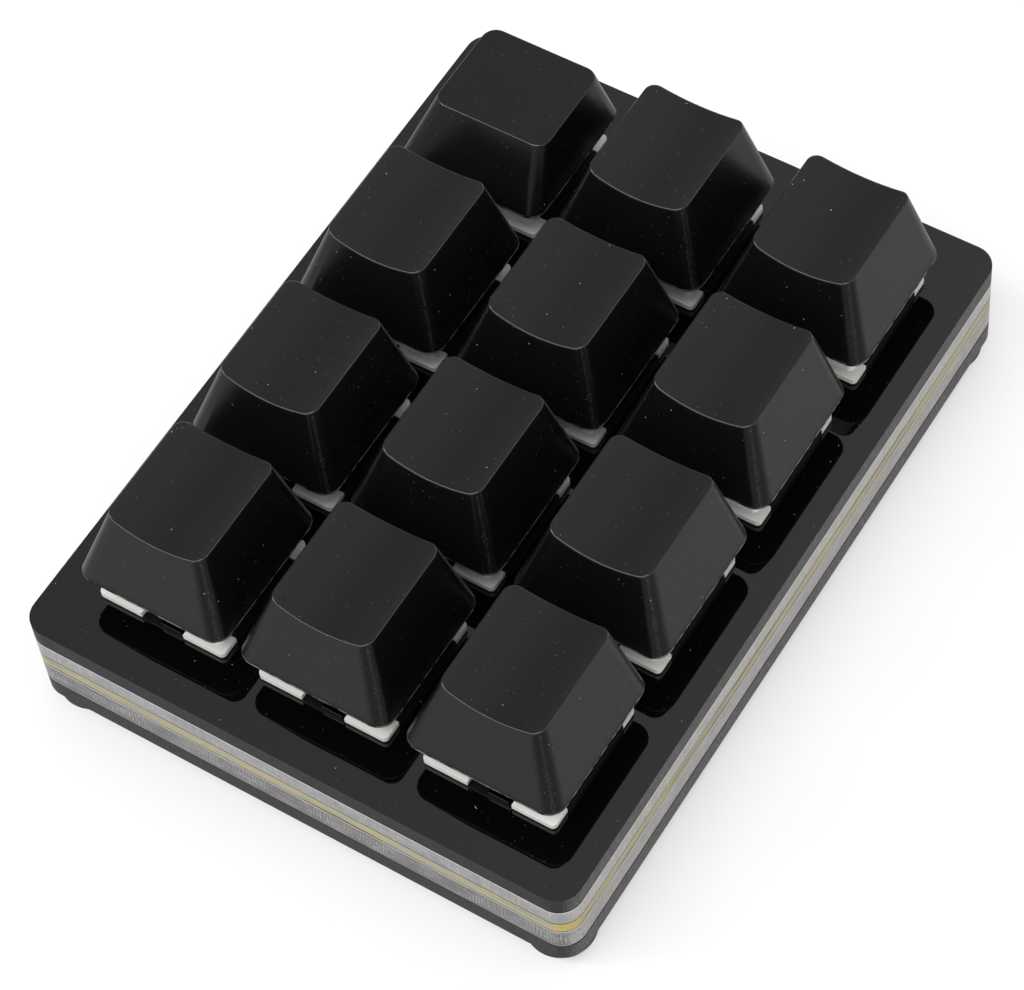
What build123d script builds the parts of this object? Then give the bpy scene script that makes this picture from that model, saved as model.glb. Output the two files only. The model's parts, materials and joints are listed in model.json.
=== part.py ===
from build123d import *
from math import sqrt
import os

# Twelve-key macro keypad in a stack of acrylic sheets, in millimetres.
# +X runs to the right along the front edge, +Y to the back and +Z up.
# The origin is on the desk, under the middle of the case.

# Case sheets
side_border = 6.3
end_border = 7.6
case_corner_radius = 2.7
bottom_plate_thickness = 2.5
lower_spacer_thickness = 3.4
board_thickness = 1.6
upper_spacer_thickness = 2.6
top_plate_thickness = 2.4
spacer_side_gap = 1.9
spacer_end_gap = 3.2
spacer_window_radius = 1.5

# Feet and the screws above them
foot_diameter = 7.6
foot_height = 2.0
foot_edge_radius = 0.7
fastener_inset = 4.0
fastener_boss_radius = 3.4
screw_diameter = 2.0
screw_length = 9.8
screw_head_diameter = 3.8
screw_slot_width = 0.5
screw_slot_depth = 0.5
screw_hole_clearance = 0.1
nut_across_flats = 4.0
nut_thickness = 1.6
nut_pocket_clearance = 0.1
thread_clearance = 0.02

# Key grid
row_count = 4
column_count = 3
row_pitch = 20.2
column_pitch = 19.8

# Switch housings
switch_body_size = 13.9
switch_body_corner_radius = 0.4
switch_fit_clearance = 0.05
switch_wall = 1.2
switch_floor_thickness = 1.2
rim_size = 15.6
rim_corner_radius = 0.55
rim_thickness = 0.9
rim_seat_thickness = 0.25
rim_tab_length = 10.6
rim_tab_clearance = 0.1
contact_window_width = 5.2
contact_window_shift = 0.2
contact_window_depth = 2.1
top_housing_crown_width = 11.2
top_housing_crown_depth = 7.4
top_housing_corner_radius = 0.6
top_housing_height = 5.6
post_diameter = 3.9
post_length = 3.3
post_hole_clearance = 0.05
pin_bore_diameter = 2.2
pin_bore_floor = 0.7

# Stem and its spring
stem_slider_width = 7.1
stem_slider_depth = 5.9
stem_running_clearance = 0.1
stem_lug_width = 8.0
stem_lug_depth = 3.0
stem_lug_gap = 0.1
stem_slider_height = 6.0
stem_cross_size = 4.0
stem_cross_arm_x = 1.3
stem_cross_arm_y = 1.1
stem_cross_height = 3.6
stem_leg_width = 1.0
stem_leg_spacing = 4.0
stem_leg_height = 2.4
stem_leg_gap = 0.1
stem_pin_diameter = 1.8
stem_pin_length = 4.0
spring_outer_diameter = 4.2
spring_wire = 0.25
spring_recess_clearance = 0.3
spring_recess_depth = 3.4
spring_end_gap = 0.02

# Switch contacts
contact_sheet = 0.2
contact_pin_width = 1.1
contact_slot_clearance = 0.1
contact_hole_diameter = 1.5
fixed_pin_x = -2.54
fixed_contact_wall_gap = 0.57
moving_pin_y = -2.54
moving_contact_stem_gap = 0.3
contact_spacing = 0.68
moving_leaf_reach = 6.4
moving_leaf_height = 5.0
moving_leaf_floor_gap = 1.2
contact_bump_radius = 0.22
contact_bump_position = 4.2
contact_tab_width = 2.4
contact_tab_x = 1.2
contact_tab_inset = 0.25
contact_tab_gap = 0.05
contact_shelf_gap = 0.05

# Keycaps
keycap_base_size = 18.4
keycap_base_corner_radius = 2.0
keycap_base_edge_radius = 0.3
keycap_lift = 5.0
keycap_wall = 1.1
keycap_top_wall = 1.0
keycap_post_diameter = 5.4
keycap_post_fit_clearance = 0.03
keycap_cavity_corner_radius = 0.6
keycap_top_edge_radius = 0.22
dished_top_width = 11.8
dished_top_front = -5.7
dished_top_back = 7.8
dished_top_height = 9.35
dished_top_corner_radius = 1.3
dish_depth = 0.95
flat_top_width = 14.1
flat_top_front = -4.1
flat_top_back = 7.8
flat_top_height = 6.7
flat_top_corner_radius = 1.7
flat_top_shift = 0.4
flat_keycap_row = 0
flat_keycap_column = 0

# Board parts on its underside
usb_width = 8.94
usb_height = 3.16
usb_depth = 7.35
usb_corner_radius = 1.3
usb_shell_wall = 0.25
usb_tongue_width = 6.7
usb_tongue_thickness = 0.7
usb_tongue_length = 5.2
usb_base_thickness = 1.4
usb_notch_clearance = 0.3
chip_width = 10.0
chip_depth = 3.9
chip_height = 1.5
chip_standoff = 0.15
chip_x = -9.9
chip_y = -2.0
chip_leads_per_side = 8
chip_lead_pitch = 1.27
chip_lead_width = 0.4
chip_lead_length = 1.05
diode_length = 2.7
diode_depth = 1.6
diode_height = 1.1
diode_x = -6.0
diode_y = 3.5
capacitor_length = 2.0
capacitor_depth = 1.25
capacitor_height = 0.85
capacitor_count = 4
capacitor_pitch = 3.0
capacitor_x = 2.0
capacitor_y = -2.0
resistor_length = 1.6
resistor_depth = 0.8
resistor_height = 0.45
resistor_count = 2
resistor_pitch = 12.0
resistor_inset = 6.4

# Levels of the stack, from the desk up
bottom_plate_base = foot_height
lower_spacer_base = bottom_plate_base + bottom_plate_thickness
board_base = lower_spacer_base + lower_spacer_thickness
board_top = board_base + board_thickness
top_plate_base = board_top + upper_spacer_thickness
plate_top = top_plate_base + top_plate_thickness
rim_seat_top = plate_top + rim_seat_thickness
rim_top = plate_top + rim_thickness
housing_top = rim_top + top_housing_height
switch_floor_top = board_top + switch_floor_thickness
post_end = board_top - post_length
slider_base = housing_top - stem_slider_height
keycap_base = plate_top + keycap_lift
spring_seat = slider_base + spring_recess_depth

# Sizes that follow from the ones above
cutout_size = switch_body_size + 2 * switch_fit_clearance
cavity_size = switch_body_size - 2 * switch_wall
screw_hole_radius = screw_diameter / 2 + screw_hole_clearance
screw_head_depth = (screw_head_diameter - screw_diameter) / 2
fixed_pin_y = -(cavity_size / 2 - fixed_contact_wall_gap - contact_sheet / 2)
moving_leaf_y = fixed_pin_y + contact_spacing
moving_pin_x = stem_slider_width / 2 + moving_contact_stem_gap + contact_sheet / 2
contact_tab_y = -(rim_size / 2 - contact_tab_inset)

key_span_x = (column_count - 1) * column_pitch + cutout_size
key_span_y = (row_count - 1) * row_pitch + cutout_size
case_width = key_span_x + 2 * side_border
case_depth = key_span_y + 2 * end_border
window_width = key_span_x + 2 * spacer_side_gap
window_depth = key_span_y + 2 * spacer_end_gap
key_columns = [(column - (column_count - 1) / 2) * column_pitch for column in range(column_count)]
key_rows = [((row_count - 1) / 2 - row) * row_pitch for row in range(row_count)]
key_points = [(x, y) for y in key_rows for x in key_columns]
fastener_span_x = case_width - 2 * fastener_inset
fastener_span_y = case_depth - 2 * fastener_inset


def fastener_points():
    """The four corners that hold a foot, a screw and a nut."""
    return GridLocations(fastener_span_x, fastener_span_y, 2, 2)


def save(part, name):
    part.label = name
    export_step(part, f"parts/{name}.step")


os.makedirs("parts", exist_ok=True)

# Round rubber feet, under the four screws
with BuildPart() as feet:
    with BuildSketch(Plane.XY):
        with fastener_points():
            Circle(foot_diameter / 2)
    extrude(amount=foot_height)
    fillet(feet.faces().group_by(Axis.Z)[0].edges(), radius=foot_edge_radius)
save(feet.part, "rubber_feet")

# Black bottom plate with countersunk holes
with BuildPart() as bottom_plate:
    with BuildSketch(Plane.XY.offset(bottom_plate_base)):
        RectangleRounded(case_width, case_depth, case_corner_radius)
    extrude(amount=bottom_plate_thickness)
    with BuildSketch(Plane.XY.offset(bottom_plate_base)):
        with fastener_points():
            Circle(screw_hole_radius)
    extrude(amount=bottom_plate_thickness, mode=Mode.SUBTRACT)
    with BuildSketch(Plane.XY.offset(bottom_plate_base)):
        with fastener_points():
            Circle(screw_head_diameter / 2 + screw_hole_clearance)
    extrude(amount=screw_head_depth, taper=45, mode=Mode.SUBTRACT)
save(bottom_plate.part, "bottom_plate")


def spacer_rim(base, thickness):
    """A clear sheet cut out to a rim, with a round boss at each screw."""
    with BuildPart() as spacer:
        with BuildSketch(Plane.XY.offset(base)):
            RectangleRounded(case_width, case_depth, case_corner_radius)
            RectangleRounded(
                window_width, window_depth, spacer_window_radius, mode=Mode.SUBTRACT
            )
            with fastener_points():
                Circle(fastener_boss_radius)
                Circle(screw_hole_radius, mode=Mode.SUBTRACT)
        extrude(amount=thickness)
    return spacer.part


# Lower clear spacer, open at the back for the socket
with BuildPart() as lower_spacer:
    add(spacer_rim(lower_spacer_base, lower_spacer_thickness))
    with BuildSketch(Plane.XY.offset(lower_spacer_base)):
        with Locations((0, case_depth / 2)):
            Rectangle(usb_width + 2 * usb_notch_clearance, 2 * usb_depth)
    extrude(amount=lower_spacer_thickness, mode=Mode.SUBTRACT)
save(lower_spacer.part, "lower_clear_spacer")

# Upper clear spacer, with a hexagonal pocket for each nut
with BuildPart() as upper_spacer:
    add(spacer_rim(board_top, upper_spacer_thickness))
    with BuildSketch(Plane.XY.offset(board_top)):
        with fastener_points():
            RegularPolygon(
                nut_across_flats / 2 + nut_pocket_clearance, side_count=6, major_radius=False
            )
    extrude(amount=nut_thickness + nut_pocket_clearance, mode=Mode.SUBTRACT)
save(upper_spacer.part, "upper_clear_spacer")

# Circuit board, its edge showing between the two clear sheets
with BuildPart() as circuit_board:
    with BuildSketch(Plane.XY.offset(board_base)):
        RectangleRounded(case_width, case_depth, case_corner_radius)
        with fastener_points():
            Circle(screw_hole_radius, mode=Mode.SUBTRACT)
        with Locations(*key_points):
            Circle(post_diameter / 2 + post_hole_clearance, mode=Mode.SUBTRACT)
            with Locations((fixed_pin_x, fixed_pin_y), (moving_pin_x, moving_pin_y)):
                Circle(contact_hole_diameter / 2, mode=Mode.SUBTRACT)
    extrude(amount=board_thickness)
save(circuit_board.part, "circuit_board")

# Black top plate, with a square opening for each switch
with BuildPart() as top_plate:
    with BuildSketch(Plane.XY.offset(top_plate_base)):
        RectangleRounded(case_width, case_depth, case_corner_radius)
        with Locations(*key_points):
            Rectangle(cutout_size, cutout_size, mode=Mode.SUBTRACT)
    extrude(amount=top_plate_thickness)
save(top_plate.part, "top_plate")

# Countersunk screws, driven from below into the nuts
with BuildPart() as screw:
    with BuildSketch(Plane.XY.offset(bottom_plate_base)):
        Circle(screw_diameter / 2)
    extrude(amount=screw_length)
    with BuildSketch(Plane.XY.offset(bottom_plate_base)):
        Circle(screw_head_diameter / 2)
    extrude(amount=screw_head_depth, taper=45)
    with BuildSketch(Plane.XY.offset(bottom_plate_base)):
        Rectangle(2 * screw_head_diameter, screw_slot_width)
    extrude(amount=screw_slot_depth, mode=Mode.SUBTRACT)
with BuildPart() as case_screws:
    with fastener_points():
        add(screw.part)
save(case_screws.part, "case_screws")

with BuildPart() as case_nuts:
    with BuildSketch(Plane.XY.offset(board_top)):
        with fastener_points():
            RegularPolygon(nut_across_flats / 2, side_count=6, major_radius=False)
            Circle(screw_diameter / 2 + thread_clearance, mode=Mode.SUBTRACT)
    extrude(amount=nut_thickness)
save(case_nuts.part, "case_nuts")

# One switch, its pieces made at the origin and placed at every key

# The bottom housing hangs through the plate, stands on the board and rests a thin rim on the plate,
# with a raised tab on either side
with BuildPart() as bottom_housing:
    with BuildSketch(Plane.XY.offset(board_top)):
        RectangleRounded(switch_body_size, switch_body_size, switch_body_corner_radius)
    extrude(amount=plate_top - board_top)
    with BuildSketch(Plane.XY.offset(plate_top)):
        RectangleRounded(rim_size, rim_size, rim_corner_radius)
    extrude(amount=rim_seat_thickness)
    with BuildSketch(Plane.XY.offset(rim_seat_top)):
        Rectangle(rim_size, rim_tab_length)
    extrude(amount=rim_top - rim_seat_top)
    with BuildSketch(Plane.XY.offset(post_end)):
        Circle(post_diameter / 2)
    extrude(amount=post_length)
    with BuildSketch(Plane.XY.offset(switch_floor_top)):
        Rectangle(cavity_size, cavity_size)
    extrude(amount=rim_top - switch_floor_top, mode=Mode.SUBTRACT)
    with BuildSketch(Plane.XY.offset(post_end + pin_bore_floor)):
        Circle(pin_bore_diameter / 2)
    extrude(amount=switch_floor_top - post_end - pin_bore_floor, mode=Mode.SUBTRACT)
    # slots in the floor for the two contact pins
    with BuildSketch(Plane.XY.offset(board_top)):
        with Locations((fixed_pin_x, fixed_pin_y)):
            Rectangle(
                contact_pin_width + 2 * contact_slot_clearance,
                contact_sheet + 2 * contact_slot_clearance,
            )
        with Locations((moving_pin_x, moving_pin_y)):
            Rectangle(
                contact_sheet + 2 * contact_slot_clearance,
                contact_pin_width + 2 * contact_slot_clearance,
            )
    extrude(amount=switch_floor_thickness, mode=Mode.SUBTRACT)

# The top housing: four rim corners on the bottom housing's rim, and a shell that narrows towards
# the stem's opening
with BuildPart() as top_housing:
    with BuildSketch(Plane.XY.offset(rim_seat_top)):
        RectangleRounded(rim_size, rim_size, rim_corner_radius)
        Rectangle(rim_size, rim_tab_length + 2 * rim_tab_clearance, mode=Mode.SUBTRACT)
        with Locations((contact_window_shift, (contact_window_depth - rim_size) / 2)):
            Rectangle(contact_window_width, contact_window_depth, mode=Mode.SUBTRACT)
    extrude(amount=rim_top - rim_seat_top)
    with BuildSketch(Plane.XY.offset(rim_top)):
        RectangleRounded(switch_body_size, switch_body_size, top_housing_corner_radius)
    with BuildSketch(Plane.XY.offset(housing_top)):
        RectangleRounded(
            top_housing_crown_width, top_housing_crown_depth, top_housing_corner_radius
        )
    loft()
    with BuildSketch(Plane.XY.offset(rim_seat_top)):
        Rectangle(cavity_size, cavity_size)
    extrude(amount=rim_top - rim_seat_top, mode=Mode.SUBTRACT)
    with BuildSketch(Plane.XY.offset(rim_top)):
        Rectangle(cavity_size, cavity_size)
    with BuildSketch(Plane.XY.offset(housing_top - switch_wall)):
        Rectangle(
            top_housing_crown_width - 2 * switch_wall, top_housing_crown_depth - 2 * switch_wall
        )
    loft(mode=Mode.SUBTRACT)
    with BuildSketch(Plane.XY.offset(rim_top)):
        Rectangle(
            stem_slider_width + 2 * stem_running_clearance,
            stem_slider_depth + 2 * stem_running_clearance,
        )
    extrude(amount=top_housing_height, mode=Mode.SUBTRACT)

# The stem: a slider with side lugs and two legs, a cross on top and a guide pin below
slider_front = -stem_slider_depth / 2
leg_front = moving_leaf_y + contact_sheet / 2 + stem_leg_gap
lug_height = housing_top - switch_wall - stem_lug_gap - slider_base
with BuildPart() as stem:
    with BuildSketch(Plane.XY.offset(slider_base)):
        Rectangle(stem_slider_width, stem_slider_depth)
    extrude(amount=stem_slider_height)
    with BuildSketch(Plane.XY.offset(slider_base)):
        Rectangle(stem_lug_width, stem_lug_depth)
    extrude(amount=lug_height)
    with BuildSketch(Plane.XY.offset(slider_base)):
        with Locations((0, (leg_front + slider_front) / 2)):
            with GridLocations(stem_leg_spacing, 0, 2, 1):
                Rectangle(stem_leg_width, slider_front - leg_front)
    extrude(amount=stem_leg_height)
    with BuildSketch(Plane.XY.offset(slider_base)):
        Circle(spring_outer_diameter / 2 + spring_recess_clearance)
    extrude(amount=spring_recess_depth, mode=Mode.SUBTRACT)
    with BuildSketch(Plane.XY.offset(slider_base - stem_pin_length)):
        Circle(stem_pin_diameter / 2)
    extrude(amount=stem_pin_length + spring_recess_depth)
    with BuildSketch(Plane.XY.offset(housing_top)):
        Rectangle(stem_cross_size, stem_cross_arm_x)
        Rectangle(stem_cross_arm_y, stem_cross_size)
    extrude(amount=stem_cross_height)

# The coil spring, as the sleeve that its turns fill, between the housing floor and the stem
with BuildPart() as spring:
    with BuildSketch(Plane.XY.offset(switch_floor_top + spring_end_gap)):
        Circle(spring_outer_diameter / 2)
        Circle(spring_outer_diameter / 2 - spring_wire, mode=Mode.SUBTRACT)
    extrude(amount=spring_seat - switch_floor_top - 2 * spring_end_gap)

# The fixed contact: its pin, its sheet inside the front wall and the tab seen in the window
shelf_top = rim_top - contact_shelf_gap
contact_tab_drop = shelf_top - rim_seat_top - contact_tab_gap
tab_left = contact_tab_x - contact_tab_width / 2
tab_right = contact_tab_x + contact_tab_width / 2
fixed_left = fixed_pin_x - contact_pin_width / 2
with BuildPart() as fixed_contact:
    with BuildSketch(Plane.XZ.offset(-fixed_pin_y - contact_sheet / 2)):
        with BuildLine():
            Polyline(
                (fixed_left, post_end),
                (fixed_left + contact_pin_width, post_end),
                (fixed_left + contact_pin_width, switch_floor_top),
                (tab_right, switch_floor_top),
                (tab_right, shelf_top),
                (tab_left, shelf_top),
                (fixed_left, plate_top),
                close=True,
            )
        make_face()
    extrude(amount=contact_sheet)
    with BuildSketch(Plane.XY.offset(shelf_top - contact_sheet)):
        with Locations((contact_tab_x, (contact_tab_y + fixed_pin_y) / 2)):
            Rectangle(contact_tab_width, fixed_pin_y - contact_tab_y + contact_sheet)
    extrude(amount=contact_sheet)
    with BuildSketch(Plane.XY.offset(shelf_top - contact_tab_drop)):
        with Locations((contact_tab_x, contact_tab_y)):
            Rectangle(contact_tab_width, contact_sheet)
    extrude(amount=contact_tab_drop)

# The moving contact: its pin, the leaf in front of the stem's legs and its bump
leaf_base = switch_floor_top + moving_leaf_floor_gap
leaf_right = moving_pin_x + contact_sheet / 2
leg_back = moving_pin_y + contact_pin_width / 2
with BuildPart() as moving_contact:
    with BuildSketch(Plane.XY.offset(post_end)):
        with Locations((moving_pin_x, moving_pin_y)):
            Rectangle(contact_sheet, contact_pin_width)
    extrude(amount=leaf_base - post_end)
    with BuildSketch(Plane.XY.offset(leaf_base)):
        with Locations((moving_pin_x, (leg_back + moving_leaf_y) / 2)):
            Rectangle(contact_sheet, leg_back - moving_leaf_y + contact_sheet)
        with Locations((leaf_right - moving_leaf_reach / 2, moving_leaf_y)):
            Rectangle(moving_leaf_reach, contact_sheet)
    extrude(amount=moving_leaf_height)
    bump_plane = Plane.XZ.offset(-moving_leaf_y - contact_sheet / 2)
    with BuildSketch(bump_plane):
        with Locations((leaf_right - contact_bump_position, leaf_base + moving_leaf_height / 2)):
            Circle(contact_bump_radius)
    extrude(amount=contact_bump_radius + contact_sheet)


def keycap_section(height, inset, corner_radius, top):
    """A keycap's outline at a height above its base, drawn in by the inset."""
    share = height / top["height"]
    half_base = keycap_base_size / 2
    half_width = half_base + (top["width"] / 2 - half_base) * share - inset
    front = -half_base + (top["front"] + half_base) * share + inset
    back = half_base + (top["back"] - half_base) * share - inset
    with BuildSketch(Plane.XY.offset(keycap_base + height)) as outline:
        with Locations((top["shift"] * share, (front + back) / 2)):
            RectangleRounded(2 * half_width, back - front, corner_radius)
    return outline.sketch


def dish_cutter(top):
    """All that lies above the dish, whose arc passes through the top's two side edges."""
    half_top = top["width"] / 2
    radius = (half_top**2 + dish_depth**2) / (2 * dish_depth)
    half_span = half_top + dish_depth
    lowest = keycap_base + top["height"] - dish_depth
    ends = lowest + radius - sqrt(radius**2 - half_span**2)
    ceiling = ends + dish_depth
    with BuildPart() as cutter:
        with BuildSketch(Plane.XZ):
            with BuildLine():
                ThreePointArc((-half_span, ends), (0, lowest), (half_span, ends))
                Polyline(
                    (half_span, ends),
                    (half_span, ceiling),
                    (-half_span, ceiling),
                    (-half_span, ends),
                )
            make_face()
        extrude(amount=keycap_base_size, both=True)
    return cutter.part


def keycap(top, dish):
    """A hollow keycap around its post, with a dish of the given depth along its top."""
    ceiling = top["height"] - dish - keycap_top_wall
    with BuildPart() as cap:
        add(keycap_section(0, 0, keycap_base_corner_radius, top))
        add(keycap_section(top["height"] + dish, 0, top["corner_radius"], top))
        loft()
        if dish:
            add(dish_cutter(top), mode=Mode.SUBTRACT)
        fillet(cap.faces().sort_by(Axis.Z)[-1].edges(), radius=keycap_top_edge_radius)
        fillet(cap.faces().sort_by(Axis.Z)[0].edges(), radius=keycap_base_edge_radius)
        add(keycap_section(0, keycap_wall, keycap_cavity_corner_radius, top))
        add(keycap_section(ceiling, keycap_wall, keycap_cavity_corner_radius, top))
        loft(mode=Mode.SUBTRACT)
        with BuildSketch(Plane.XY.offset(housing_top)):
            Circle(keycap_post_diameter / 2)
        extrude(amount=keycap_base + ceiling + keycap_top_wall / 2 - housing_top)
        with BuildSketch(Plane.XY.offset(housing_top)):
            Rectangle(
                stem_cross_size + 2 * keycap_post_fit_clearance,
                stem_cross_arm_x + 2 * keycap_post_fit_clearance,
            )
            Rectangle(
                stem_cross_arm_y + 2 * keycap_post_fit_clearance,
                stem_cross_size + 2 * keycap_post_fit_clearance,
            )
        extrude(amount=stem_cross_height + keycap_post_fit_clearance, mode=Mode.SUBTRACT)
    return cap.part


dished_top = {
    "width": dished_top_width,
    "front": dished_top_front,
    "back": dished_top_back,
    "height": dished_top_height,
    "corner_radius": dished_top_corner_radius,
    "shift": 0,
}
flat_top = {
    "width": flat_top_width,
    "front": flat_top_front,
    "back": flat_top_back,
    "height": flat_top_height,
    "corner_radius": flat_top_corner_radius,
    "shift": flat_top_shift,
}
dished_keycap = keycap(dished_top, dish_depth)
flat_keycap = keycap(flat_top, 0)

# Keycaps, stems and springs, one node for each key
for row, y in enumerate(key_rows):
    for column, x in enumerate(key_columns):
        place = f"row{row + 1}_col{column + 1}"
        is_flat = row == flat_keycap_row and column == flat_keycap_column
        with BuildPart() as placed_keycap:
            with Locations((x, y)):
                add(flat_keycap if is_flat else dished_keycap)
        save(placed_keycap.part, f"keycap_{place}")
        with BuildPart() as placed_stem:
            with Locations((x, y)):
                add(stem.part)
        save(placed_stem.part, f"stem_{place}")
        with BuildPart() as placed_spring:
            with Locations((x, y)):
                add(spring.part)
        save(placed_spring.part, f"spring_{place}")

# Switch housings, one node for each row of three
for row, y in enumerate(key_rows):
    row_points = [(x, y) for x in key_columns]
    with BuildPart() as top_housings:
        with Locations(*row_points):
            add(top_housing.part)
    save(top_housings.part, f"switch_top_housings_row{row + 1}")
    with BuildPart() as bottom_housings:
        with Locations(*row_points):
            add(bottom_housing.part)
    save(bottom_housings.part, f"switch_bottom_housings_row{row + 1}")

with BuildPart() as fixed_contacts:
    with Locations(*key_points):
        add(fixed_contact.part)
save(fixed_contacts.part, "switch_fixed_contacts")

with BuildPart() as moving_contacts:
    with Locations(*key_points):
        add(moving_contact.part)
save(moving_contacts.part, "switch_moving_contacts")

# Socket for the cable, under the back edge of the board
usb_back = case_depth / 2
usb_middle = board_base - usb_height / 2
usb_mouth = Plane(origin=(0, usb_back, usb_middle), x_dir=(-1, 0, 0), z_dir=(0, 1, 0))
usb_inner_width = usb_width - 2 * usb_shell_wall
usb_inner_height = usb_height - 2 * usb_shell_wall
usb_inner_radius = usb_corner_radius - usb_shell_wall
with BuildPart() as usb_shell:
    with BuildSketch(usb_mouth):
        RectangleRounded(usb_width, usb_height, usb_corner_radius)
        RectangleRounded(
            usb_inner_width, usb_inner_height, usb_inner_radius, mode=Mode.SUBTRACT
        )
    extrude(amount=-usb_depth)
save(usb_shell.part, "usb_socket_shell")

with BuildPart() as usb_insert:
    with BuildSketch(usb_mouth.offset(-usb_depth)):
        RectangleRounded(usb_inner_width, usb_inner_height, usb_inner_radius)
    extrude(amount=usb_base_thickness)
    with BuildSketch(usb_mouth.offset(usb_base_thickness - usb_depth)):
        Rectangle(usb_tongue_width, usb_tongue_thickness)
    extrude(amount=usb_tongue_length)
save(usb_insert.part, "usb_socket_insert")

# Controller chip with its gull-wing leads, below the board
with BuildPart() as controller_chip:
    chip_plane = Plane.XY.offset(board_base - chip_standoff)
    with BuildSketch(chip_plane):
        with Locations((chip_x, chip_y)):
            Rectangle(chip_width, chip_depth)
    extrude(amount=-chip_height)
    chip_foot_length = chip_lead_length / 2
    chip_foot_span = chip_depth + 2 * chip_lead_length - chip_foot_length
    with BuildSketch(Plane.XY.offset(board_base)):
        with Locations((chip_x, chip_y)):
            with GridLocations(chip_lead_pitch, chip_foot_span, chip_leads_per_side, 2):
                Rectangle(chip_lead_width, chip_foot_length)
    extrude(amount=-chip_standoff - chip_height / 2)
    with BuildSketch(Plane.XY.offset(board_base - chip_standoff - chip_height / 2)):
        with Locations((chip_x, chip_y)):
            with GridLocations(
                chip_lead_pitch, chip_depth + chip_lead_length, chip_leads_per_side, 2
            ):
                Rectangle(chip_lead_width, chip_lead_length)
    extrude(amount=chip_standoff)
save(controller_chip.part, "controller_chip")


def board_blocks(points, length, depth, height):
    """Small parts soldered flat under the board."""
    with BuildPart() as blocks:
        with BuildSketch(Plane.XY.offset(board_base)):
            with Locations(*points):
                Rectangle(length, depth)
        extrude(amount=-height)
    return blocks.part


diode_points = [(x + diode_x, y + diode_y) for x, y in key_points]
save(board_blocks(diode_points, diode_length, diode_depth, diode_height), "key_diodes")

capacitor_points = [(capacitor_x + i * capacitor_pitch, capacitor_y) for i in range(capacitor_count)]
save(
    board_blocks(capacitor_points, capacitor_depth, capacitor_length, capacitor_height),
    "board_capacitors",
)

resistor_y = case_depth / 2 - resistor_inset
resistor_points = [
    ((i - (resistor_count - 1) / 2) * resistor_pitch, resistor_y) for i in range(resistor_count)
]
save(
    board_blocks(resistor_points, resistor_depth, resistor_length, resistor_height),
    "board_resistors",
)
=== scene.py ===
import json
from math import cos, pi, radians, sin

import bpy
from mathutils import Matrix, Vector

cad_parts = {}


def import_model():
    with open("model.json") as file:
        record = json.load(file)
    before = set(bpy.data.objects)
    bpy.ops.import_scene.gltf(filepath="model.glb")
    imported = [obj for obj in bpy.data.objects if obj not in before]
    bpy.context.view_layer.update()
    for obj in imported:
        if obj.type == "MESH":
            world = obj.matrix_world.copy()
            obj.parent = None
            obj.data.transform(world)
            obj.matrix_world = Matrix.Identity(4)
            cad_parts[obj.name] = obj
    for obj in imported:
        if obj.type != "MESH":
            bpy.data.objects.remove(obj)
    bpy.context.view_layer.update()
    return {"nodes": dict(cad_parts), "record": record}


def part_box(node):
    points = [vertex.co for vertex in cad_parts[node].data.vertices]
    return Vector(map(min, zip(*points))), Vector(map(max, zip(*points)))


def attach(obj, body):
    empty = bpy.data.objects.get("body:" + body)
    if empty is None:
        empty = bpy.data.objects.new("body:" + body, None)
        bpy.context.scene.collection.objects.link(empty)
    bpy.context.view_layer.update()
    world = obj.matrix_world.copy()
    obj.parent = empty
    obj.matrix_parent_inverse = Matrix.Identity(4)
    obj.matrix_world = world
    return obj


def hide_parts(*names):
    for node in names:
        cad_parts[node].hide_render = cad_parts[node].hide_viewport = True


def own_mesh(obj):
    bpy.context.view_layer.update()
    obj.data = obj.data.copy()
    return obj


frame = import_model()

MM = 0.001

# Sockets of the mix node: its two ends and its result, for colours and for numbers
COLOUR_ENDS = (6, 7)
COLOUR_RESULT = 2
NUMBER_ENDS = (2, 3)
NUMBER_RESULT = 0

# A step between two neighbouring values that reads as sharp
SHARP = 0.01

# Underside of the keycaps, which their painted rim highlight and their duller parts are measured from
KEYCAP_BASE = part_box("keycap_row1_col1")[0].z


# Short names for the shader nodes that the materials share

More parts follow.
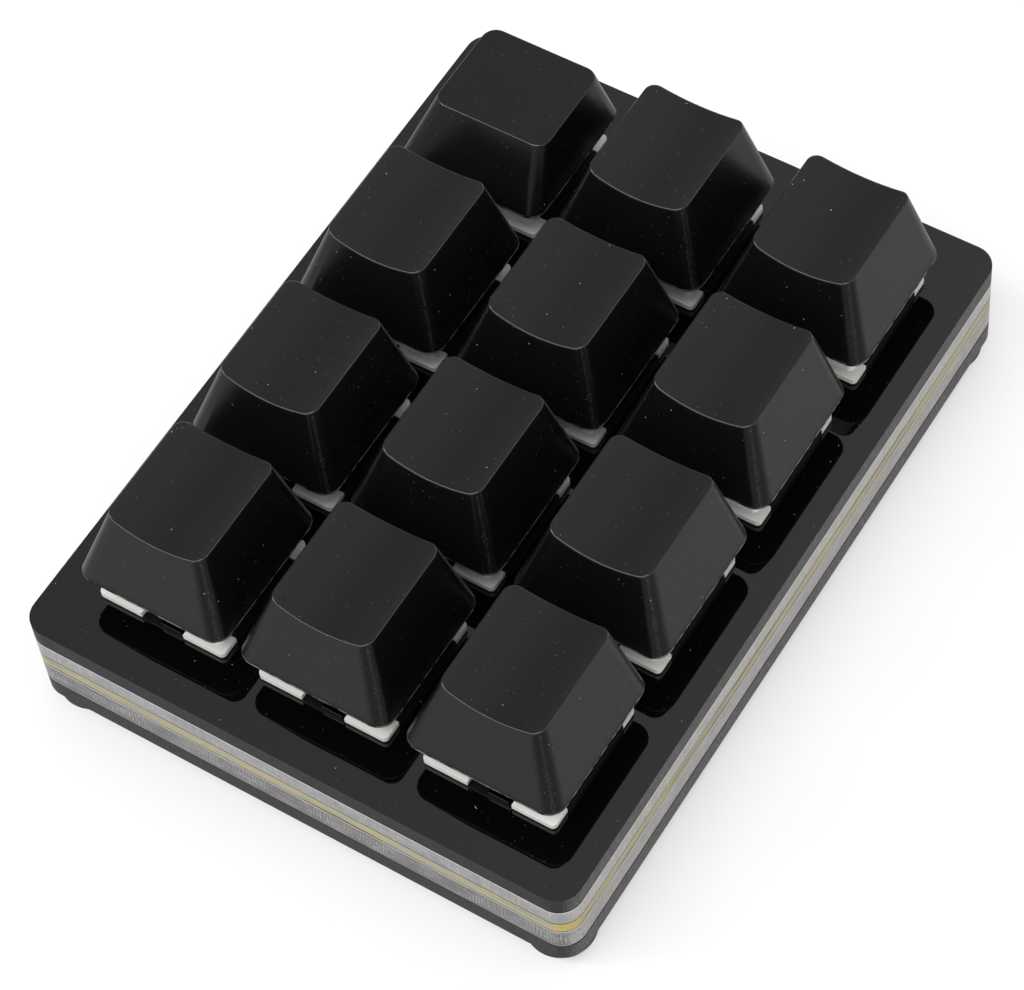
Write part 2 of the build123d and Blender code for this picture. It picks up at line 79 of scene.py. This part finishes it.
class Nodes:
    """A node tree, with short calls that add nodes to it."""

    def __init__(self, tree, position):
        self.tree = tree
        self.position = self.add("ShaderNodeTexCoord").outputs[position]

    def add(self, kind, settings=None, **inputs):
        node = self.tree.nodes.new(kind)
        for key, value in (settings or {}).items():
            setattr(node, key, value)
        for socket, value in inputs.items():
            self.feed(node.inputs[socket.replace("_", " ")], value)
        return node

    def feed(self, socket, value):
        if isinstance(value, bpy.types.NodeSocket):
            self.tree.links.new(value, socket)
        else:
            socket.default_value = value

    def maths(self, operation, first, second=0.0):
        node = self.add("ShaderNodeMath", {"operation": operation})
        self.feed(node.inputs[0], first)
        self.feed(node.inputs[1], second)
        return node.outputs[0]

    def times(self, first, second):
        return self.maths("MULTIPLY", first, second)

    def larger(self, first, second):
        return self.maths("MAXIMUM", first, second)

    def mix(self, share, first, second):
        """A number or a colour between two others."""
        both = (first, second)
        colours = any(isinstance(end, tuple) or getattr(end, "type", "") == "RGBA" for end in both)
        node = self.add("ShaderNodeMix", {"data_type": "RGBA" if colours else "FLOAT"})
        self.feed(node.inputs[0], share)
        for socket, value in zip(COLOUR_ENDS if colours else NUMBER_ENDS, both):
            self.feed(node.inputs[socket], value)
        return node.outputs[COLOUR_RESULT if colours else NUMBER_RESULT]

    def between(self, value, low, high):
        """0 at the low value, 1 at the high one and smooth between them. Low may be the larger of the two."""
        node = self.add("ShaderNodeMapRange", {"interpolation_type": "SMOOTHSTEP"})
        for socket, number in zip(node.inputs, (value, low, high)):
            self.feed(socket, number)
        return node.outputs[0]

    def band(self, value, low, high, soft):
        """1 between the low and the high value, with soft ends."""
        rise = self.between(value, low - soft, low + soft)
        return self.times(rise, self.between(value, high + soft, high - soft))


class Surface(Nodes):
    """A material with one principled shader, and the nodes that feed it."""

    def __init__(self, name, **values):
        self.material = bpy.data.materials.new(name)
        self.material.use_nodes = True
        super().__init__(self.material.node_tree, "Object")
        self.shader = self.tree.nodes["Principled BSDF"]
        self.height = self.add("ShaderNodeSeparateXYZ", Vector=self.position).outputs["Z"]
        for socket, value in values.items():
            self.shader.inputs[socket.replace("_", " ")].default_value = value

    def set(self, socket, value):
        self.feed(self.shader.inputs[socket], value)

    def bump(self, height, depth):
        """Gives the surface its relief and hands back the finished material."""
        self.set("Normal", self.add("ShaderNodeBump", Height=height, Distance=depth).outputs[0])
        return self.material

    def noise(self, size, detail=2.0, stretch=(1, 1, 1), roughness=0.5):
        """Noise with features of about the given size in metres."""
        scale = tuple(1 / (size * factor) for factor in stretch)
        vector = self.add("ShaderNodeMapping", Vector=self.position, Scale=scale).outputs[0]
        node = self.add(
            "ShaderNodeTexNoise", Vector=vector, Scale=1.0, Detail=detail, Roughness=roughness
        )
        return node.outputs[0]

    def patches(self, size, low, high, detail=3, stretch=(1, 1, 1)):
        """Patches of about the given size: 0 where the noise is under low, 1 where it is over high."""
        return self.between(self.noise(size, detail, stretch), low, high)

    def facing(self, axis):
        """How squarely the surface faces along an axis, from -1 to 1."""
        normal = self.add("ShaderNodeNewGeometry").outputs["True Normal"]
        return self.add("ShaderNodeSeparateXYZ", Vector=normal).outputs[axis]

    def either_way(self, axis):
        return self.maths("ABSOLUTE", self.facing(axis))

    def ends(self):
        """1 on the front and the back, 0 on the long sides."""
        return self.between(self.either_way("Y"), low=0.5, high=0.85)

    def corner(self):
        """0 on flat sides, and up to a half midway round an upright corner."""
        return self.times(self.either_way("X"), self.either_way("Y"))

    def specks(self, cell, radius, share, length=1.0, turn=0.0):
        """Spots of the given radius in that share of the cells, drawn out to the given length."""
        turned = self.add("ShaderNodeVectorRotate", {"rotation_type": "Z_AXIS"}, Vector=self.position)
        self.feed(turned.inputs["Angle"], radians(turn))
        scale = (1 / (cell * length), 1 / cell, 1 / cell)
        vector = self.add("ShaderNodeMapping", Vector=turned.outputs[0], Scale=scale).outputs[0]
        node = self.add("ShaderNodeTexVoronoi", Vector=vector, Scale=1.0)
        rim = radius / cell
        spot = self.between(node.outputs["Distance"], low=rim, high=rim / 2)
        chosen = self.add("ShaderNodeSeparateColor", Color=node.outputs["Color"]).outputs[0]
        return self.times(spot, self.between(chosen, low=1 - share, high=1 - share + SHARP))

    def dust(self):
        """Faint fine specks, fewer bright ones and short fibres lying two ways."""
        faint = 0.35
        total = self.times(self.specks(cell=0.65 * MM, radius=0.05 * MM, share=0.5), faint)
        for layer in (
            self.specks(cell=1.2 * MM, radius=0.07 * MM, share=0.24),
            self.specks(cell=1.0 * MM, radius=0.04 * MM, share=0.15, length=7, turn=25),
            self.specks(cell=1.2 * MM, radius=0.04 * MM, share=0.15, length=6, turn=-50),
        ):
            total = self.larger(total, layer)
        return total


def grey(value):
    return (value, value, value, 1)


def tint(red, green, blue):
    return (red, green, blue, 1)


# Materials

def keycap_plastic(name, edge_start):
    """Satin black plastic with glossier top edges, which face up by edge_start or more. Its corners and
    its lowest part are duller, a painted sheen runs up the middle of each upright corner, a painted
    highlight runs along its lower rim, and dust lies on it."""
    surface = Surface(name)
    plain_gloss = 0.26
    dull_gloss = 0.15
    edge_gloss = 0.5
    edge_roughness = 0.18
    dust_roughness = 0.8
    # Colour of the painted highlight along the lower rim
    rim_highlight_tone = grey(0.15)
    # Colour of the painted sheen up the upright corners
    sheen_tone = grey(0.07)
    dust_tone = grey(0.4)

    up = surface.facing("Z")
    corner = surface.corner()
    edge = surface.band(up, low=edge_start, high=0.94, soft=0.03)
    # Painted highlight: light patches on the lowest half millimetre of the walls, standing in for the thin
    # highlight line along the lower rim
    rim = surface.between(surface.height, low=KEYCAP_BASE + 0.5 * MM, high=KEYCAP_BASE + 0.38 * MM)
    rim = surface.times(rim, surface.between(up, low=-0.4, high=-0.3))
    rim = surface.times(rim, surface.patches(1.0 * MM, low=0.35, high=0.6))
    # Painted sheen: a lighter stripe, broken up by noise, up the middle of each upright corner, standing in
    # for light caught there
    painted_corner_sheen = surface.mix(surface.noise(1.4 * MM, detail=1), 0.2, 1.0)
    painted_corner_sheen = surface.times(surface.between(corner, low=0.39, high=0.435), painted_corner_sheen)
    dust = surface.dust()

    cloud = surface.noise(7 * MM, detail=3)
    colour = surface.mix(cloud, tint(0.0022, 0.0022, 0.0026), tint(0.0038, 0.0037, 0.0042))
    colour = surface.mix(rim, colour, rim_highlight_tone)
    colour = surface.mix(painted_corner_sheen, colour, sheen_tone)
    surface.set("Base Color", surface.mix(dust, colour, dust_tone))

    foot = surface.between(surface.height, low=KEYCAP_BASE + 1.0 * MM, high=KEYCAP_BASE + 0.4 * MM)
    dull = surface.larger(foot, surface.between(corner, low=0.1, high=0.3))
    gloss = surface.mix(edge, surface.mix(dull, plain_gloss, dull_gloss), edge_gloss)
    slant = surface.add("ShaderNodeLayerWeight", Blend=0.5).outputs["Facing"]
    gloss = surface.mix(surface.between(slant, low=0.76, high=0.88), gloss, 0.0)
    surface.set("Specular IOR Level", gloss)

    roughness = surface.mix(surface.noise(3 * MM, detail=4), 0.22, 0.3)
    roughness = surface.mix(edge, roughness, edge_roughness)
    surface.set("Roughness", surface.mix(dust, roughness, dust_roughness))
    return surface.bump(surface.noise(0.18 * MM), 0.003 * MM)


def black_acrylic(name, front, side):
    """Polished black sheet: a mirror on its level faces, and sawn sides in a tone for the ends and
    one for the long sides. The ends are painted darker than the long sides, a painted shade for the
    weaker light they get."""
    surface = Surface(name)
    mirror = grey(0.0015)
    mirror_gloss = 0.4
    sawn_gloss = 0.12
    sawn_roughness = 0.5
    dust_tone = grey(0.3)
    dust_roughness = 0.7

    level = surface.between(surface.either_way("Z"), low=0.6, high=0.9)
    streaks = surface.noise(0.2 * MM, detail=3, stretch=(1, 1, 14), roughness=0.7)
    dust = surface.dust()

    # Painted shade: the ends take the darker front tone, for the weaker light on them
    tone = surface.mix(surface.ends(), side, front)
    for marks, darkest, lightest in (
        (surface.between(streaks, low=0.4, high=0.7), 0.8, 1.1),
        (surface.patches(0.14 * MM, low=0.42, high=0.62, stretch=(1, 1, 2)), 0.6, 1.4),
        (surface.noise(5 * MM, stretch=(1, 1, 0.5)), 0.85, 1.15),
    ):
        tone = surface.times(tone, surface.mix(marks, darkest, lightest))
    sawn = surface.add("ShaderNodeCombineColor", Red=tone, Green=tone, Blue=tone).outputs[0]
    surface.set("Base Color", surface.mix(level, sawn, surface.mix(dust, mirror, dust_tone)))

    surface.set("Specular IOR Level", surface.mix(level, sawn_gloss, mirror_gloss))
    smear = surface.mix(surface.noise(14 * MM, detail=3), 0.01, 0.035)
    smear = surface.mix(dust, smear, dust_roughness)
    surface.set("Roughness", surface.mix(level, sawn_roughness, smear))
    upright = surface.maths("SUBTRACT", 1.0, level)
    return surface.bump(surface.times(streaks, upright), 0.01 * MM)


def clear_acrylic(name, sheet, front, side, tick_share, side_joint):
    """Clear sheet with sides frosted by the cutter, in a tone for the ends and one for the long sides; the
    ends are painted darker, a painted shade for the weaker light they get. The cutter left ticks across
    the ends, a painted highlight runs as a light line near the base and the top, and a dark joint parts
    it from each neighbour."""
    surface = Surface(name, IOR=1.49, Transmission_Weight=0.12)
    base, top = (corner.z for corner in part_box(sheet))
    frosted_gloss = 0.25
    front_joint = 0.15 * MM
    top_joint = 0.14 * MM
    joint_blur = 0.03 * MM
    highlight_blur = 0.04 * MM
    # Where the painted highlight lines run, near the base and the top
    base_highlight = (base + 0.15 * MM, base + 0.29 * MM)
    base_highlight_share = 0.25
    top_highlight = (top - 0.31 * MM, top - 0.16 * MM)
    highlight_share = 0.7
    tick_spacing = 0.38 * MM
    tick_wander = 0.6 * MM
    tick_reach = (top - base) * 0.3
    warm_share = 0.3
    shade_share = 0.4
    frost_share = 0.35
    step_share = 0.35
    grain_share = 0.55
    shade_tone = grey(0.05)
    frost_tone = grey(0.85)
    tick_tone = grey(0.55)
    highlight_tone = grey(0.9)
    joint_tone = grey(0.006)

    ends = surface.ends()
    streaks = surface.noise(0.3 * MM, detail=3, stretch=(1, 1, 9), roughness=0.7)
    shimmer = surface.noise(1.0 * MM, detail=3, stretch=(1, 3, 0.5), roughness=0.6)
    warm = surface.mix(shimmer, tint(0.52, 0.42, 0.50), tint(0.50, 0.50, 0.34))
    # Painted shade: the ends take the darker front tone, for the weaker light on them
    tone = surface.mix(ends, surface.mix(warm_share, side, warm), front)
    darker = surface.mix(shade_share, tone, shade_tone)
    lighter = surface.mix(frost_share, tone, frost_tone)
    steps = surface.patches(3.5 * MM, low=0.47, high=0.54, stretch=(1, 1, 0.2))
    grain = surface.patches(0.16 * MM, low=0.62, high=0.48, stretch=(1, 1, 3))
    colour = surface.mix(surface.between(streaks, low=0.35, high=0.6), darker, tone)
    colour = surface.mix(surface.times(steps, step_share), colour, lighter)
    colour = surface.mix(surface.times(grain, grain_share), colour, darker)

    along = surface.add("ShaderNodeSeparateXYZ", Vector=surface.position).outputs["X"]
    along = surface.maths("ADD", along, surface.times(surface.noise(2 * MM), tick_wander))
    ticks = surface.maths("SINE", surface.times(along, 2 * pi / tick_spacing))
    ticks = surface.between(ticks, low=0.2, high=0.8)
    ticks = surface.times(ticks, surface.patches(0.2 * MM, low=0.4, high=0.55, detail=2))
    middle = (base + top) / 2
    cut = surface.band(surface.height, middle - tick_reach, middle + tick_reach, soft=0.3 * MM)
    for share in (surface.patches(5 * MM, low=0.4, high=0.55, detail=2), ends, tick_share):
        cut = surface.times(cut, share)
    colour = surface.mix(surface.times(ticks, cut), colour, tick_tone)

    # Painted highlight: light lines near the base and the top of the frosted sides, standing in for the shine
    # along those edges
    lines = surface.times(surface.band(surface.height, *base_highlight, soft=highlight_blur), base_highlight_share)
    lines = surface.larger(lines, surface.band(surface.height, *top_highlight, soft=highlight_blur))
    colour = surface.mix(surface.times(lines, highlight_share), colour, highlight_tone)

    above = surface.maths("SUBTRACT", surface.height, surface.mix(ends, side_joint, front_joint))
    inside = surface.times(
        surface.between(above, base - joint_blur, base + joint_blur),
        surface.between(surface.height, top - top_joint + joint_blur, top - top_joint - joint_blur),
    )
    surface.set("Base Color", surface.mix(inside, joint_tone, colour))
    surface.set("Specular IOR Level", surface.mix(inside, 0.0, frosted_gloss))
    surface.set("Roughness", surface.mix(streaks, 0.3, 0.55))
    return surface.bump(streaks, 0.03 * MM)


def board_laminate():
    """Glass-fibre laminate: pale layers along its edge, with ochre resin at the rounded corners."""
    surface = Surface("board_laminate", Specular_IOR_Level=0.25)
    dots = surface.noise(0.25 * MM, detail=3)
    layers = surface.noise(0.28 * MM, detail=3, stretch=(50, 50, 1), roughness=0.6)
    faded = surface.patches(1.6 * MM, low=0.45, high=0.6, stretch=(1, 1, 0.3))
    resin = surface.patches(4 * MM, low=0.57, high=0.66, stretch=(1, 1, 0.1))
    resin = surface.larger(resin, surface.between(surface.corner(), low=0.08, high=0.3))
    pale = surface.mix(dots, tint(0.41, 0.375, 0.235), tint(0.34, 0.31, 0.185))
    pale = surface.mix(faded, pale, tint(0.34, 0.325, 0.27))
    ochre = surface.mix(dots, tint(0.55, 0.44, 0.17), tint(0.42, 0.34, 0.12))
    colour = surface.mix(resin, pale, ochre)
    dark_layers = surface.between(layers, low=0.57, high=0.62)
    surface.set("Base Color", surface.mix(dark_layers, colour, tint(0.17, 0.15, 0.08)))
    surface.set("Roughness", surface.mix(dots, 0.45, 0.65))
    return surface.bump(dots, 0.02 * MM)


def moulded_plastic(name, darkest, lightest, roughness, gloss=0.5):
    """Plain moulded plastic with a faint cloud and grain."""
    surface = Surface(name, Specular_IOR_Level=gloss)
    cloud = surface.noise(2.5 * MM, detail=3)
    surface.set("Base Color", surface.mix(cloud, darkest, lightest))
    surface.set("Roughness", surface.mix(cloud, roughness, roughness + 0.1))
    return surface.bump(surface.noise(0.15 * MM), 0.005 * MM)


def bare_metal(name, darkest, lightest, roughness):
    """Drawn or stamped metal with fine lines and slight stains."""
    surface = Surface(name, Metallic=1.0)
    lines = surface.noise(0.06 * MM, stretch=(1, 1, 8))
    stains = surface.noise(1.4 * MM, detail=3)
    surface.set("Base Color", surface.mix(stains, darkest, lightest))
    surface.set("Roughness", surface.mix(lines, roughness, roughness + 0.15))
    return surface.bump(lines, 0.004 * MM)


def foot_rubber():
    """Soft black rubber with a dusty bloom."""
    surface = Surface("foot_rubber", Specular_IOR_Level=0.35)
    bloom = surface.noise(1.2 * MM, detail=4)
    surface.set("Base Color", surface.mix(bloom, grey(0.008), grey(0.02)))
    surface.set("Roughness", surface.mix(bloom, 0.5, 0.75))
    return surface.bump(bloom, 0.03 * MM)


materials = {
    "keycap_plastic": keycap_plastic("keycap_plastic", edge_start=0.5),
    # The front and side tones hold a painted shade: the ends darker than the long sides
    "black_acrylic": black_acrylic("black_acrylic", front=0.016, side=0.078),
    # The front and side tones hold a painted shade: the ends darker than the long sides
    "clear_acrylic": clear_acrylic(
        "upper_clear_acrylic",
        "upper_clear_spacer",
        front=tint(0.38, 0.37, 0.375),
        side=tint(0.52, 0.51, 0.49),
        tick_share=0.2,
        side_joint=0.15 * MM,
    ),
    "board_laminate": board_laminate(),
    "switch_white_plastic": moulded_plastic(
        "switch_white_plastic", tint(0.68, 0.67, 0.64), tint(0.75, 0.74, 0.71), roughness=0.3
    ),
    "switch_black_plastic": moulded_plastic(
        "switch_black_plastic", grey(0.003), grey(0.006), roughness=0.35, gloss=0.15
    ),
    "stem_plastic": moulded_plastic(
        "stem_plastic", tint(0.10, 0.19, 0.36), tint(0.13, 0.23, 0.42), roughness=0.35
    ),
    "socket_plastic": moulded_plastic("socket_plastic", grey(0.012), grey(0.02), roughness=0.4),
    "chip_resin": moulded_plastic("chip_resin", grey(0.02), grey(0.035), roughness=0.5),
    "capacitor_ceramic": moulded_plastic(
        "capacitor_ceramic", tint(0.42, 0.30, 0.18), tint(0.5, 0.37, 0.24), roughness=0.4
    ),
    "foot_rubber": foot_rubber(),
    "spring_steel": bare_metal(
        "spring_steel", tint(0.55, 0.54, 0.52), tint(0.7, 0.69, 0.67), roughness=0.25
    ),
    "screw_steel": bare_metal(
        "screw_steel", tint(0.5, 0.5, 0.49), tint(0.66, 0.66, 0.64), roughness=0.28
    ),
    "socket_steel": bare_metal(
        "socket_steel", tint(0.58, 0.58, 0.57), tint(0.72, 0.72, 0.7), roughness=0.22
    ),
    # The contact's colour is darkened far below copper's own, a painted shade for the cap's shadow it sits in
    "contact_copper": bare_metal(
        "contact_copper", tint(0.06, 0.032, 0.024), tint(0.09, 0.052, 0.04), roughness=0.08
    ),
}

# The pieces that look different from the others in their slot. The flat keycap's front slopes so much
# that its glossy edges start further up.
own_materials = {
    "keycap_row1_col1": keycap_plastic("flat_keycap_plastic", edge_start=0.7),
    # Painted shade in the front and side tones: the ends darker than the long sides
    "lower_clear_spacer": clear_acrylic(
        "lower_clear_acrylic",
        "lower_clear_spacer",
        front=tint(0.17, 0.163, 0.163),
        side=tint(0.38, 0.36, 0.36),
        tick_share=0.7,
        side_joint=0.3 * MM,
    ),
    # Painted shade in the front and side tones: the ends darker than the long sides
    "bottom_plate": black_acrylic("bottom_black_acrylic", front=0.027, side=0.09),
}

for subpart in frame["record"]["subparts"]:
    node = subpart["node"]
    mesh = frame["nodes"][node].data
    mesh.materials.clear()
    mesh.materials.append(own_materials.get(node) or materials[subpart["material_slot"]])


# Return springs: each coil stands for its plain sleeve, which is hidden, and is fixed to the case

SPRING_WIRE = 0.25 * MM
SPRING_TURNS = 12
CLOSED_TURNS = 1
CLOSED_RISE = 1.1 * SPRING_WIRE
STEPS_PER_TURN = 24
WIRE_SIDES = 8


def coil_spring(name, low, high):
    """A coil of round wire that fills the box between two corners, with a closed turn at each end."""
    coil_radius = (high.x - low.x - SPRING_WIRE) / 2
    middle_x = (low.x + high.x) / 2
    middle_y = (low.y + high.y) / 2
    open_turns = SPRING_TURNS - 2 * CLOSED_TURNS
    open_rise = (high.z - low.z - SPRING_WIRE - 2 * CLOSED_TURNS * CLOSED_RISE) / open_turns
    steps = SPRING_TURNS * STEPS_PER_TURN
    points = []
    for step in range(steps + 1):
        turn = step / STEPS_PER_TURN
        opened = min(max(turn - CLOSED_TURNS, 0), open_turns)
        height = low.z + SPRING_WIRE / 2 + (turn - opened) * CLOSED_RISE + opened * open_rise
        for side in range(WIRE_SIDES):
            around = 2 * pi * side / WIRE_SIDES
            reach = coil_radius + SPRING_WIRE / 2 * cos(around)
            x = middle_x + reach * cos(2 * pi * turn)
            y = middle_y + reach * sin(2 * pi * turn)
            points.append((x, y, height + SPRING_WIRE / 2 * sin(around)))
    lower_end = tuple(range(WIRE_SIDES))
    upper_end = tuple(steps * WIRE_SIDES + side for side in reversed(lower_end))
    faces = [lower_end, upper_end]
    for step in range(steps):
        start = step * WIRE_SIDES
        end = start + WIRE_SIDES
        for side in range(WIRE_SIDES):
            following = (side + 1) % WIRE_SIDES
            faces.append((start + side, end + side, end + following, start + following))
    mesh = bpy.data.meshes.new(name)
    mesh.from_pydata(points, [], faces)
    mesh.shade_smooth()
    mesh.materials.append(materials["spring_steel"])
    coil = bpy.data.objects.new(name, mesh)
    bpy.context.scene.collection.objects.link(coil)
    return coil


for joint in frame["record"]["behaviour"]["joints"]:
    sleeve = joint["name"].replace("press", "spring")
    low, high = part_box(sleeve)
    coil = coil_spring(sleeve.replace("spring", "coil"), low, high)
    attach(coil, "case")
    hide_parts(sleeve)
    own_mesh(coil)


# Floor, light and camera

FLOOR_REACH = 3.0
FLOOR_GLOW = 0.46

LEFT_WALL_STRENGTH = 0.75
RIGHT_WALL_STRENGTH = 1.19
WINDOW_STRENGTH = 6.0

# Fitted to the photograph's own view, with the turns in degrees
LENS = 131.6
SENSOR_WIDTH = 36
SIDE_SHIFT = -0.0012
CAMERA_PLACE = (0.1339, -0.1739, 0.3415)
CAMERA_TURN = (32.77, 4.013, 31.79)


def floor():
    """A white floor that runs to the edge of every view and is a little brighter to the eye."""
    near = -FLOOR_REACH
    far = FLOOR_REACH
    mesh = bpy.data.meshes.new("floor")
    mesh.from_pydata([(near, near, 0), (far, near, 0), (far, far, 0), (near, far, 0)], [], [(0, 1, 2, 3)])
    plane = bpy.data.objects.new("floor", mesh)
    bpy.context.scene.collection.objects.link(plane)
    surface = Surface("floor_paper", Specular_IOR_Level=0.1, Roughness=0.8)
    paper = surface.noise(30 * MM, detail=3)
    surface.set("Base Color", surface.mix(paper, grey(0.40), grey(0.42)))
    path = surface.add("ShaderNodeLightPath").outputs
    seen = surface.larger(path["Is Camera Ray"], path["Is Glossy Ray"])
    seen = surface.larger(seen, path["Is Transmission Ray"])
    surface.set("Emission Color", grey(1))
    surface.set("Emission Strength", surface.times(seen, FLOOR_GLOW))
    mesh.materials.append(surface.material)


def world():
    """White surroundings, dimmer on the left, with a wide window overhead towards the front."""
    sky = bpy.data.worlds.new("studio")
    sky.use_nodes = True
    room = Nodes(sky.node_tree, "Generated")
    direction = room.add("ShaderNodeSeparateXYZ", Vector=room.position).outputs
    rightwards = room.between(direction["X"], low=-0.5, high=-0.08)
    wall = room.mix(rightwards, LEFT_WALL_STRENGTH, RIGHT_WALL_STRENGTH)
    window = room.times(
        room.band(direction["X"], low=-0.85, high=0.25, soft=0.1),
        room.band(direction["Y"], low=-0.52, high=-0.28, soft=0.06),
    )
    window = room.times(window, room.between(direction["Z"], low=0.1, high=0.3))
    strength = room.maths("ADD", wall, room.times(window, WINDOW_STRENGTH))
    background = sky.node_tree.nodes["Background"].inputs
    room.feed(background["Strength"], strength)
    room.feed(background["Color"], grey(1))
    bpy.context.scene.world = sky


def camera():
    """Looks down on the front and the right side, as the photographer did."""
    data = bpy.data.cameras.new("camera")
    data.sensor_width = SENSOR_WIDTH
    data.lens = LENS
    data.shift_x = SIDE_SHIFT
    eye = bpy.data.objects.new("camera", data)
    eye.location = CAMERA_PLACE
    eye.rotation_euler = [radians(angle) for angle in CAMERA_TURN]
    bpy.context.scene.collection.objects.link(eye)
    bpy.context.scene.camera = eye


floor()
world()
camera()
bpy.context.scene.view_settings.view_transform = "Standard"
